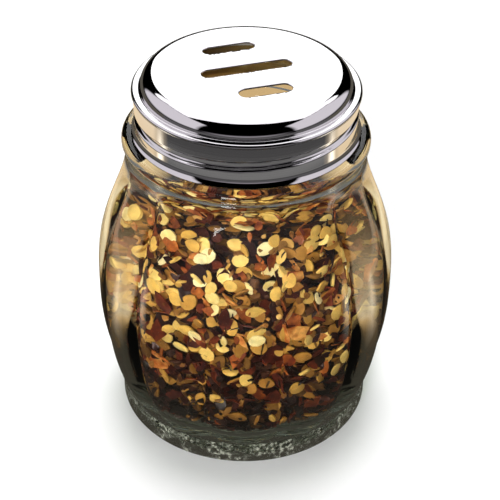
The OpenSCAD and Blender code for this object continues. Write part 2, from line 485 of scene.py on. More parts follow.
@dataclass(frozen=True)
class GlassFinish:
    """Clear pressed glass with a faint green cast, stippled on the foot."""

    tint: Colour = (0.985, 0.992, 0.98, 1.0)
    depth_tint: Colour = (0.72, 0.8, 0.7, 1.0)
    depth_density: float = 30.0
    shadow_tint: Colour = (0.74, 0.76, 0.72, 1.0)
    ior: float = 1.45
    roughness: float = 0.012
    stipple_scale: float = 900.0
    stipple_height: float = 0.5 * MM
    stipple_top: float = 6.1 * MM
    frost_colour: Colour = (0.42, 0.43, 0.35, 1.0)
    frost_scale: float = 1000.0
    frost_patch_scale: float = 170.0
    frost_range: tuple[float, float] = (0.47, 0.66)
    frost_patch_range: tuple[float, float] = (0.38, 0.6)
    ripple_scale: float = 55.0
    ripple_height: float = 0.05 * MM

    def material(self) -> Material:
        """Builds the material.

        Returns:
            The material.
        """
        material, nodes, shader, output = new_material("pressed_glass")
        where = nodes.place()
        nodes.set(
            shader, Base_Color=self.tint, Roughness=self.roughness, IOR=self.ior,
            Transmission_Weight=1.0, Metallic=0.0,
        )
        height = nodes.add("SeparateXYZ")
        nodes.feed(height.inputs[0], where)
        on_foot = nodes.math("LESS_THAN", height.outputs["Z"], self.stipple_top)
        grain = nodes.add("TexVoronoi", feature="SMOOTH_F1")
        nodes.set(grain, Scale=self.stipple_scale, Vector=where)
        press = nodes.math("MULTIPLY", on_foot, self.stipple_height)
        stipple = nodes.math("MULTIPLY", grain.outputs["Distance"], press)
        ripple = nodes.math("MULTIPLY", nodes.noise(self.ripple_scale, 2.0, where), self.ripple_height)
        bump = nodes.add("Bump")
        nodes.set(bump, Strength=1.0, Distance=1.0, Height=nodes.math("ADD", stipple, ripple))
        nodes.set(shader, Normal=bump.outputs["Normal"])
        specks = nodes.span(nodes.noise(self.frost_scale, 3.0, where), *self.frost_range)
        patches = nodes.span(nodes.noise(self.frost_patch_scale, 2.0, where), *self.frost_patch_range)
        frost = nodes.add("BsdfDiffuse")
        nodes.set(frost, Color=self.frost_colour)
        amount = nodes.math("MULTIPLY", nodes.math("MULTIPLY", specks, patches), on_foot)
        frosted = nodes.blend(amount, shader.outputs["BSDF"], frost.outputs["BSDF"])
        clear = nodes.add("BsdfTransparent")
        nodes.set(clear, Color=self.shadow_tint)
        from_lamp = nodes.add("LightPath").outputs["Is Shadow Ray"]
        nodes.feed(output.inputs["Surface"], nodes.blend(from_lamp, frosted, clear.outputs["BSDF"]))
        depth = nodes.add("VolumeAbsorption")
        nodes.set(depth, Color=self.depth_tint, Density=self.depth_density)
        nodes.feed(output.inputs["Volume"], depth.outputs[0])
        return material


@dataclass(frozen=True)
class ChromeFinish:
    """Polished chromium plate with fine turning marks and a little haze."""

    colour: Colour = (0.86, 0.855, 0.865, 1.0)
    roughness: float = 0.035
    haze: float = 0.06
    haze_scale: float = 70.0
    haze_power: float = 3.0
    mark_scale: float = 9000.0
    mark_height: float = 0.0015 * MM

    def material(self) -> Material:
        """Builds the material.

        Returns:
            The material.
        """
        material, nodes, shader, _ = new_material("chromium_plate")
        where = nodes.place()
        haze = nodes.math("POWER", nodes.noise(self.haze_scale, 5.0, where), self.haze_power)
        rough = nodes.math("ADD", self.roughness, nodes.math("MULTIPLY", haze, self.haze))
        nodes.set(shader, Base_Color=self.colour, Metallic=1.0, Roughness=rough)
        axis = nodes.add("SeparateXYZ")
        nodes.feed(axis.inputs[0], where)
        squares = [nodes.math("MULTIPLY", axis.outputs[name], axis.outputs[name]) for name in "XY"]
        radius = nodes.math("SQRT", nodes.math("ADD", *squares))
        along = nodes.add("CombineXYZ")
        nodes.set(along, X=radius, Y=axis.outputs["Z"])
        marks = nodes.noise(self.mark_scale, 2.0, along.outputs[0])
        bump = nodes.add("Bump")
        nodes.set(bump, Strength=1.0, Distance=1.0, Height=nodes.math("MULTIPLY", marks, self.mark_height))
        nodes.set(shader, Normal=bump.outputs["Normal"])
        return material


@dataclass(frozen=True)
class LacquerFinish:
    """Golden lacquer that keeps the lid's inside from rusting."""

    colour: Colour = (0.5, 0.32, 0.12, 1.0)
    metallic: float = 0.6
    roughness: float = 0.4
    patch_scale: float = 160.0
    patch_amount: float = 0.3

    def material(self) -> Material:
        """Builds the material.

        Returns:
            The material.
        """
        material, nodes, shader, _ = new_material("golden_lacquer")
        patches = MottleGroup.placed(nodes, self.colour, self.patch_scale, self.patch_amount)
        nodes.set(
            shader, Base_Color=patches.outputs["Color"], Metallic=self.metallic, Roughness=self.roughness,
        )
        return material


@dataclass(frozen=True)
class RubberFinish:
    """Off-white sealing rubber."""

    colour: Colour = (0.78, 0.76, 0.7, 1.0)
    roughness: float = 0.65
    grain_scale: float = 1500.0
    grain_amount: float = 0.12
    grain_height: float = 0.02 * MM

    def material(self) -> Material:
        """Builds the material.

        Returns:
            The material.
        """
        material, nodes, shader, _ = new_material("sealing_rubber")
        grain = MottleGroup.placed(nodes, self.colour, self.grain_scale, self.grain_amount)
        bump = nodes.add("Bump")
        nodes.set(bump, Strength=1.0, Distance=self.grain_height, Height=grain.outputs["Height"])
        nodes.set(
            shader, Base_Color=grain.outputs["Color"], Roughness=self.roughness,
            Normal=bump.outputs["Normal"],
        )
        return material


@dataclass(frozen=True)
class DryFinish:
    """Dry plant matter whose colour runs over a range from piece to piece, and less so within each."""

    name: str
    stops: Stops
    roughness: float
    patch_scale: float
    patch_amount: float
    drift: float
    drift_scale: float = 380.0
    shine: float = 0.22
    grain_height: float = 0.12 * MM
    grain_strength: float = 0.8

    def material(self) -> Material:
        """Builds the material.

        Returns:
            The material.
        """
        material, nodes, shader, _ = new_material(self.name)
        # The tint carries each piece's own colour together with its painted shade and painted light from
        # depth and height.
        tint = nodes.add("Attribute", attribute_name=Crumble.tint_name).outputs["Fac"]
        cloud = nodes.math("SUBTRACT", nodes.noise(self.drift_scale, 2.0, nodes.place()), 0.5)
        shade = nodes.math("MULTIPLY_ADD", cloud, nodes.math("MULTIPLY", tint, self.drift), tint)
        colour = nodes.ramp(shade, self.stops)
        patches = MottleGroup.placed(nodes, colour, self.patch_scale, self.patch_amount)
        bump = nodes.add("Bump")
        nodes.set(bump, Strength=self.grain_strength, Distance=self.grain_height)
        nodes.set(bump, Height=patches.outputs["Height"])
        nodes.set(
            shader, Base_Color=patches.outputs["Color"], Roughness=self.roughness,
            Specular_IOR_Level=self.shine, Normal=bump.outputs["Normal"],
        )
        return material


# Each ramp's lowest, near-black stops are mostly reached through painted shade: buried pieces, low pieces
# and the core are pushed down the ramp.
PEPPER_FINISHES = {
    Kind.SEEDS: DryFinish(
        "pepper_seed",
        (
            (0.0, (0.03, 0.012, 0.006)),
            (0.25, (0.36, 0.15, 0.025)),
            (0.5, (0.66, 0.36, 0.07)),
            (0.75, (0.82, 0.55, 0.16)),
            (1.0, (0.92, 0.76, 0.4)),
        ),
        roughness=0.45, patch_scale=420.0, patch_amount=0.45, drift=0.5,
    ),
    Kind.SKINS: DryFinish(
        "pepper_skin",
        (
            (0.0, (0.008, 0.004, 0.003)),
            (0.3, (0.036, 0.006, 0.004)),
            (0.55, (0.14, 0.022, 0.007)),
            (0.8, (0.4, 0.1, 0.017)),
            (1.0, (0.64, 0.29, 0.07)),
        ),
        roughness=0.38, patch_scale=700.0, patch_amount=0.8, drift=1.2,
    ),
    Kind.CRUMBS: DryFinish(
        "pepper_crumb",
        (
            (0.0, (0.005, 0.003, 0.002)),
            (0.45, (0.05, 0.014, 0.006)),
            (0.8, (0.34, 0.13, 0.025)),
            (1.0, (0.7, 0.42, 0.12)),
        ),
        roughness=0.6, patch_scale=900.0, patch_amount=0.6, drift=0.6,
    ),
}


@dataclass
class GlassJar:
    """Pressed glass jar: foot, barrel of lobes, neck, bead and threaded finish."""

    body_r: float = field(default_factory=lambda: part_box("glass_jar")[1].x)
    height: float = field(default_factory=lambda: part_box("glass_jar")[1].z)
    foot_h: float = 6.4 * MM
    foot_step: float = 0.2 * MM
    foot_round: float = 0.8 * MM
    foot_edge: float = 0.15 * MM
    foot_rim_w: float = 6 * MM
    punt_h: float = 1.6 * MM
    body_z: float = 33.5 * MM
    base_draw: float = 5.2 * MM
    base_power: float = 2.25
    shoulder_power: float = 3
    lobe_count: int = 12
    lobe_axis_r: float = 19 * MM
    lobe_fade_power: float = 8
    wall_t: float = 2.8 * MM
    floor_t: float = 7 * MM
    floor_round: float = 7 * MM
    finish_h: float = 10.4 * MM
    finish_r: float = 24.7 * MM
    finish_wall_t: float = 2.8 * MM
    lip_round: float = 0.7 * MM
    bead_r: float = 29.7 * MM
    bead_h: float = 2.9 * MM
    neck_in: float = 0.7 * MM
    neck_h: float = 2.7 * MM
    throat_wall_t: float = 4.6 * MM
    throat_h: float = 6.5 * MM
    throat_power: float = 1.2
    thread_pitch: float = 4.2 * MM
    thread_z: float = 82.6 * MM
    thread_ends: tuple[float, float] = (-40, 415)
    thread_fade: float = 30
    ridge_h: float = 1 * MM
    ridge_w: float = 2 * MM
    ridge_crest_w: float = 0.8 * MM
    segments: int = 288

    def __post_init__(self) -> None:
        """Works out the sizes that follow from the others."""
        self.base_r = self.body_r - self.base_draw
        self.foot_r = self.base_r + self.foot_step
        self.ledge_z = self.height - self.finish_h
        self.neck_z = self.ledge_z - self.bead_h - self.neck_h
        self.neck_r = self.bead_r - self.neck_in
        self.mouth_r = self.finish_r - self.finish_wall_t
        self.throat_r = self.neck_r - self.throat_wall_t
        self.throat_z = self.ledge_z - self.throat_h
        self.bore_r = self.body_r - self.wall_t
        self.top_arc = arc_radius(self.bore_r - self.throat_r, self.throat_z - self.body_z)
        self.low_arc = arc_radius(self.base_draw, self.body_z - self.floor_t)
        self.low_x = self.bore_r - self.low_arc
        self.corner_z = self.floor_t + self.floor_round
        reach = self.low_arc - self.floor_round
        self.corner_x = self.low_x + math.sqrt(reach * reach - (self.corner_z - self.body_z) ** 2)
        self.corner_turn = math.degrees(math.atan2(self.corner_z - self.body_z, self.corner_x - self.low_x))
        self.corner_end_z = self.corner_z + self.floor_round * math.sin(math.radians(self.corner_turn))

    def crest_radius(self, z: float) -> float:
        """Radius over the lobe crests.

        Args:
            z: Height.

        Returns:
            The radius there.
        """
        if z < self.body_z:
            share = ((self.body_z - z) / (self.body_z - self.foot_h)) ** self.base_power
            return self.body_r - self.base_draw * share
        share = (1 - ((z - self.body_z) / (self.neck_z - self.body_z)) ** self.shoulder_power) ** 2
        return self.neck_r + (self.body_r - self.neck_r) * share

    def lobe_radius(self, azimuth: float, z: float) -> float:
        """Radius of the lobed body.

        Args:
            azimuth: Degrees from the front.
            z: Height.

        Returns:
            The radius there.
        """
        pitch = 360 / self.lobe_count
        off = azimuth % pitch
        a = math.radians(min(off, pitch - off))
        crest = self.crest_radius(z)
        c = self.lobe_axis_r
        lobed = c * math.cos(a) + math.sqrt((crest - c) ** 2 - (c * math.sin(a)) ** 2)
        share = 1.0
        if z > self.body_z:
            share = max(0.0, 1 - ((z - self.body_z) / (self.neck_z - self.body_z)) ** self.lobe_fade_power)
        return crest + (lobed - crest) * share

    def bore_radius(self, z: float) -> float:
        """Radius of the inside.

        Args:
            z: Height, under the throat's top.

        Returns:
            The radius there.
        """
        if z > self.throat_z:
            share = (self.ledge_z - z) / self.throat_h
            return self.mouth_r + (self.throat_r - self.mouth_r) * max(0.0, share) ** self.throat_power
        if z > self.body_z:
            return self.bore_r - self.top_arc + math.sqrt(self.top_arc ** 2 - (z - self.body_z) ** 2)
        if z > self.corner_end_z:
            return self.low_x + math.sqrt(self.low_arc ** 2 - (z - self.body_z) ** 2)
        return self.corner_x + math.sqrt(max(0.0, self.floor_round ** 2 - (z - self.corner_z) ** 2))

    def ridge(self, azimuth: float, z: float) -> float:
        """Height of the screw thread over the finish.

        Args:
            azimuth: Degrees from the front.
            z: Height.

        Returns:
            How far the thread stands out there.
        """
        first, last = self.thread_ends
        most = 0.0
        for turn in range(-1, 3):
            a = azimuth + 360 * turn
            fade = min((a - first) / self.thread_fade, (last - a) / self.thread_fade, 1)
            if fade > 0:
                off = abs(z - self.thread_z - self.thread_pitch * a / 360)
                share = (self.ridge_w / 2 - off) / (self.ridge_w / 2 - self.ridge_crest_w / 2)
                most = max(most, self.ridge_h * fade * smooth_step(share))
        return most

    def outline(self) -> Outline:
        """Draws the section of the glass.

        Returns:
            The section, from the hollow under the foot, up the outside and down the inside.
        """
        punt_arc = arc_radius(self.punt_h, self.foot_r - self.foot_rim_w)
        punt_turn = math.degrees(math.asin((self.foot_r - self.foot_rim_w) / punt_arc))
        bead_z = self.ledge_z - self.bead_h / 2
        bead_x = self.bead_r - self.bead_h / 2
        bead_turn = math.degrees(math.acos((self.neck_r - bead_x) / (self.bead_h / 2)))
        rim_z = self.height - self.lip_round
        made = Outline(0, self.punt_h)
        made.arc((0, self.punt_h - punt_arc), punt_arc, (90, 90 - punt_turn), 12)
        made.line(self.foot_r - self.foot_round, 0, 4)
        made.arc((self.foot_r - self.foot_round, self.foot_round), self.foot_round, (-90, 0), 6)
        made.line(self.foot_r, self.foot_h - self.foot_edge, 8)
        made.arc((self.foot_r - self.foot_edge, self.foot_h - self.foot_edge), self.foot_edge, (0, 90), 3)
        made.follow(self.crest_radius, self.foot_h, self.neck_z, 72)
        made.arc((bead_x, bead_z), self.bead_h / 2, (-bead_turn, 90), 12)
        made.line(self.finish_r, self.ledge_z, 4).line(self.finish_r, rim_z, 48)
        made.arc((self.finish_r - self.lip_round, rim_z), self.lip_round, (0, 90), 5)
        made.arc((self.mouth_r + self.lip_round, rim_z), self.lip_round, (90, 180), 5)
        made.follow(self.bore_radius, self.ledge_z, self.throat_z, 12)
        made.follow(self.bore_radius, self.throat_z, self.body_z, 36)
        made.arc((self.low_x, self.body_z), self.low_arc, (0, self.corner_turn), 20)
        made.arc((self.corner_x, self.corner_z), self.floor_round, (self.corner_turn, -90), 12)
        return made.line(0, self.floor_t, 8)

    def build(self) -> Mesh:
        """Spins the section, then presses the lobes and the thread into its outside.

        Returns:
            The jar's mesh.
        """
        bm = self.outline().spun(self.segments)
        for v in bm.verts:
            r, z = math.hypot(v.co.x, v.co.y), v.co.z
            if self.foot_h - NEAR < z < self.neck_z and abs(r - self.crest_radius(z)) < NEAR:
                move_out(v, self.lobe_radius(azimuth_of(v.co), z) - r)
            elif z > self.ledge_z and abs(r - self.finish_r) < NEAR:
                move_out(v, self.ridge(azimuth_of(v.co), z))
        return mesh_from(bm, "glass_body")

    def dress(self, finish: GlassFinish) -> Object:
        """Builds the jar and gives it its finish."""
        return add_piece(self.build(), finish.material(), Body.JAR, "glass_jar")


@dataclass
class ScrewLid:
    """Pressed steel cap: crowned top with slots, rolled rim, threaded skirt and hem."""

    hem_r: float = field(default_factory=lambda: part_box("lid")[1].x)
    skirt_z: float = field(default_factory=lambda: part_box("lid")[0].z)
    top_z: float = field(default_factory=lambda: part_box("lid")[1].z)
    sheet_t: float = 0.4 * MM
    hem_out: float = 0.8 * MM
    hem_round: float = 0.5 * MM
    flare_h: float = 1.8 * MM
    rim_out: float = 0.5 * MM
    rim_round: float = 0.6 * MM
    rim_fillet: float = 0.35 * MM
    dome_step: float = 1.5 * MM
    dome_h: float = 4.6 * MM
    dome_round: float = 3.5 * MM
    crown_h: float = 0.9 * MM
    thread_pitch: float = 4.2 * MM
    groove_rise: float = 5.7 * MM
    groove_w: float = 2.5 * MM
    groove_floor_w: float = 1.1 * MM
    groove_depth: float = 1 * MM
    groove_ends: tuple[float, float] = (-230, 100)
    groove_fade: float = 30
    slot_w: float = 3.6 * MM
    slot_mid_l: float = 21.8 * MM
    slot_side_l: float = 12.6 * MM
    slot_pitch: float = 10.7 * MM
    slot_shift: float = 1.2 * MM
    slot_turn: float = 17.5
    slot_edge: float = 0.22 * MM
    slot_edge_shares: tuple[float, float] = (0.13, 0.5)
    cutter_sheets: float = 4
    slot_segments: int = 32
    segments: int = 256
    sharp_angle: float = 50
    inside_slant: float = -0.2

    def __post_init__(self) -> None:
        """Works out the sizes that follow from the others."""
        self.skirt_r = self.hem_r - self.hem_out
        self.rim_r = self.skirt_r + self.rim_out
        self.dome_r = self.skirt_r - self.dome_step
        self.rim_z = self.top_z - self.dome_h - self.rim_round
        self.hem_z = self.skirt_z + self.hem_round
        self.flare_z = self.hem_z + self.flare_h
        self.dome_x = self.dome_r - self.dome_round
        self.crown_arc = arc_radius(self.crown_h, self.dome_x)
        self.crown_z = self.top_z - self.crown_arc
        reach = self.crown_arc - self.dome_round
        self.dome_round_z = self.crown_z + math.sqrt(reach * reach - self.dome_x ** 2)
        self.crown_turn = math.degrees(math.acos(self.dome_x / reach))

    def outline(self) -> Outline:
        """Draws the section of the sheet.

        Returns:
            The section, over the outside and back along the inside.
        """
        sheet, rim_x = self.sheet_t, self.rim_r - self.rim_round
        rim_top = self.rim_z + self.rim_round
        rim_turn = math.degrees(math.acos((self.skirt_r - rim_x) / self.rim_round))
        rim_end_z = self.rim_z - self.rim_round * math.sin(math.radians(rim_turn))
        flare_arc = arc_radius(self.hem_out, self.flare_h)
        flare_turn = math.degrees(math.asin(self.flare_h / flare_arc))
        skirt_in_r, dome_in_r = self.skirt_r - sheet, self.dome_r - sheet
        shoulder = (self.dome_x, self.dome_round_z)
        fillet_z = rim_top + self.rim_fillet
        fillet_turn = math.asin((fillet_z - self.dome_round_z) / (self.dome_round + self.rim_fillet))
        fillet_x = self.dome_x + (self.dome_round + self.rim_fillet) * math.cos(fillet_turn)
        made = Outline(0, self.top_z)
        made.arc((0, self.crown_z), self.crown_arc, (90, self.crown_turn), 40)
        made.arc(shoulder, self.dome_round, (self.crown_turn, math.degrees(fillet_turn)), 20)
        made.arc((fillet_x, fillet_z), self.rim_fillet, (180 + math.degrees(fillet_turn), 270), 6)
        made.arc((rim_x, self.rim_z), self.rim_round, (90, -rim_turn), 18)
        made.line(self.skirt_r, self.flare_z, 48)
        made.arc((self.skirt_r + flare_arc, self.flare_z), flare_arc, (180, 180 + flare_turn), 10)
        made.arc((self.hem_r - self.hem_round, self.hem_z), self.hem_round, (0, -180), 14)
        made.line(skirt_in_r, self.hem_z + self.hem_round, 2).line(skirt_in_r, rim_end_z, 48)
        made.arc((rim_x, self.rim_z), self.rim_round - sheet, (-90, 90), 10)
        made.line(dome_in_r, rim_top - sheet, 2)
        made.arc(shoulder, self.dome_round - sheet, (0, self.crown_turn), 14)
        made.arc((0, self.crown_z), self.crown_arc - sheet, (self.crown_turn, 90), 40)
        return made

    def groove(self, azimuth: float, z: float, widen: float) -> float:
        """Depth of the rolled thread.

        Args:
            azimuth: Degrees from the front.
            z: Height.
            widen: How much wider the groove is on each side, as it is inside the sheet.

        Returns:
            How far the sheet is pressed in there.
        """
        first, last = self.groove_ends
        most = 0.0
        for turn in (-1, 0, 1):
            a = azimuth + 360 * turn
            fade = min((a - first) / self.groove_fade, (last - a) / self.groove_fade, 1)
            if fade > 0:
                off = abs(z - self.skirt_z - self.groove_rise - self.thread_pitch * a / 360)
                half, floor = self.groove_w / 2 + widen, self.groove_floor_w / 2 + widen
                pressed = self.groove_depth * smooth_step(fade)
                most = max(most, pressed * smooth_step((half - off) / (half - floor)))
        return most

    def slot_cutter(self, length: float, sideways: float, along: float) -> Mesh:
        """Mesh that cuts one slot with rolled edges and follows the crown.

        Args:
            length: Length of the slot.
            sideways: Its distance from the middle, across the slots.
            along: Its shift along the slots.

        Returns:
            The cutter's mesh.
        """
        bm = bmesh.new()
        edge, deep = self.slot_edge, self.sheet_t * self.cutter_sheets
        near, far = (edge * share for share in self.slot_edge_shares)
        rows = [
            (-deep, 0.0), (-edge, 0.0), (-far, near), (-near, far), (0.0, edge), (deep, edge + deep),
        ]
        half = (length - self.slot_w) / 2
        loops = []
        for i, (z, out) in enumerate(rows):
            turn = Matrix.Rotation(math.pi / self.slot_segments, 4, "Z")
            ring = bmesh.ops.create_circle(
                bm, cap_ends=i in (0, len(rows) - 1), segments=self.slot_segments,
                radius=self.slot_w / 2 + out, matrix=Matrix.Translation((0, 0, z)) @ turn,
            )["verts"]
            for v in ring:
                v.co.x += math.copysign(half, v.co.x)
            members = set(ring)
            loops.append([e for e in bm.edges if set(e.verts) <= members])
        for low, high in zip(loops, loops[1:]):
            bmesh.ops.bridge_loops(bm, edges=low + high)
        turned = Matrix.Rotation(math.radians(self.slot_turn), 4, "Z")
        placed = turned @ Matrix.Translation((along, sideways, 0))
        bmesh.ops.transform(bm, matrix=placed, verts=bm.verts[:])
        for v in bm.verts:
            v.co.z += self.crown_z + math.sqrt(self.crown_arc ** 2 - v.co.x ** 2 - v.co.y ** 2)
        bmesh.ops.recalc_face_normals(bm, faces=bm.faces[:])
        return mesh_from(bm, "slot_cutter")

    def build(self) -> Mesh:
        """Spins the sheet, rolls the thread into the skirt and cuts the slots.

        Returns:
            The lid's mesh.
        """
        bm = self.outline().spun(self.segments)
        inner = self.skirt_r - self.sheet_t
        for v in bm.verts:
            r, z = math.hypot(v.co.x, v.co.y), v.co.z
            if self.flare_z - NEAR < z < self.rim_z:
                for wall, widen in ((self.skirt_r, 0.0), (inner, self.sheet_t)):
                    if abs(r - wall) < NEAR:
                        move_out(v, -self.groove(azimuth_of(v.co), z, widen))
        blank = bpy.data.objects.new("lid_blank", mesh_from(bm, "lid_blank", self.sharp_angle))
        bpy.context.scene.collection.objects.link(blank)
        cutters = [
            bpy.data.objects.new("slot_cutter", self.slot_cutter(length, sideways, along))
            for length, sideways, along in (
                (self.slot_mid_l, 0, 0),
                (self.slot_side_l, self.slot_pitch, -self.slot_shift),
                (self.slot_side_l, -self.slot_pitch, self.slot_shift),
            )
        ]
        for cutter in cutters:
            bpy.context.scene.collection.objects.link(cutter)
            cut = blank.modifiers.new("slot", "BOOLEAN")
            cut.operation, cut.solver, cut.object = "DIFFERENCE", "EXACT", cutter
        bpy.context.view_layer.update()
        mesh = bpy.data.meshes.new_from_object(blank.evaluated_get(bpy.context.evaluated_depsgraph_get()))
        mesh.name = "slotted_cap"
        for done in [blank, *cutters]:
            bpy.data.objects.remove(done)
        mesh.set_sharp_from_angle(angle=math.radians(self.sharp_angle))
        return mesh

    def is_inside(self, point: Vector, normal: Vector) -> bool:
        """Whether a face belongs to the lid's inside.

        Args:
            point: The face's middle.
            normal: Its normal.

        Returns:
            True for the underside of the top and for the skirt's inner wall.
        """
        if point.z > self.rim_z:
            return normal.z < self.inside_slant
        return normal.dot(Vector((point.x, point.y, 0)).normalized()) < self.inside_slant

    def dress(self, finish: ChromeFinish, inside: LacquerFinish) -> Object:
        """Builds the lid and gives it its finishes.

        Args:
            finish: Finish of the outside.
            inside: Finish of the inside.

        Returns:
            The lid.
        """
        cap = add_piece(self.build(), finish.material(), Body.LID, "lid")
        cap.data.materials.append(inside.material())
        for face in cap.data.polygons:
            face.material_index = int(self.is_inside(face.center, face.normal))
        return cap


@dataclass
class SealingRing:
    """Flat rubber ring between the glass rim and the lid."""

    edge_round: float = 0.25 * MM
    inner_r: float = 21.9 * MM
    segments: int = 160
    sharp_angle: float = 40

    def build(self) -> Mesh:
        """Spins the ring's section with rounded edges.

        Returns:
            The ring's mesh.
        """
        low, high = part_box("rim_gasket")
        e = self.edge_round
        made = Outline(self.inner_r + e, low.z).line(high.x - e, low.z, 2)
        made.arc((high.x - e, low.z + e), e, (-90, 0), 4).arc((high.x - e, high.z - e), e, (0, 90), 4)
        made.line(self.inner_r + e, high.z, 2)
        made.arc((self.inner_r + e, high.z - e), e, (90, 180), 4)
        made.arc((self.inner_r + e, low.z + e), e, (180, 270), 4)
        made.points.pop()
        return mesh_from(made.spun(self.segments, closed=True), "flat_ring", self.sharp_angle)

    def dress(self, finish: RubberFinish) -> Object:
        """Builds the ring and gives it its finish."""
        return add_piece(self.build(), finish.material(), Body.RING, "rim_gasket")


class Crumble:
    """Many small pieces of one kind, gathered in one mesh with a tint for each."""

    tint_name = "tint"

    def __init__(self, name: str, shapes: Sequence[Mesh]) -> None:
        """Starts without pieces.

        Args:
            name: Name of the gathered mesh.
            shapes: The shapes to choose from.
        """
        self.name = name
        self.shapes = shapes
        self.bm = bmesh.new()
        self.tints: list[float] = []

    def add(self, shape: Mesh, matrix: Matrix, tint: float) -> None:
        """Adds one piece.

        Args:
            shape: Its shape.
            matrix: Its place, turn and size.
            tint: Where its colour lies in the finish's range.
        """
        stamp = shape.copy()
        stamp.transform(matrix)
        self.bm.from_mesh(stamp)
        bpy.data.meshes.remove(stamp)
        self.tints += [tint] * len(shape.vertices)

    def mesh(self, sharp_angle: float) -> Mesh:
        """Gathers the pieces in one mesh.

        Args:
            sharp_angle: Edges over this angle, in degrees, stay sharp.

        Returns:
            The mesh.
        """
        made = mesh_from(self.bm, self.name, sharp_angle)
        layer = made.attributes.new(self.tint_name, "FLOAT", "POINT")
        layer.data.foreach_set("value", self.tints)
        return made


@dataclass(frozen=True)
class Spot:
    """Place for one flake.

    Fields: the place, the direction into the heap, how deep it is buried as a share, and how near the glass
    the flake is brought, if it is.
    """

    point: Vector
    inward: Vector
    buried: float
    touch: float | None = None


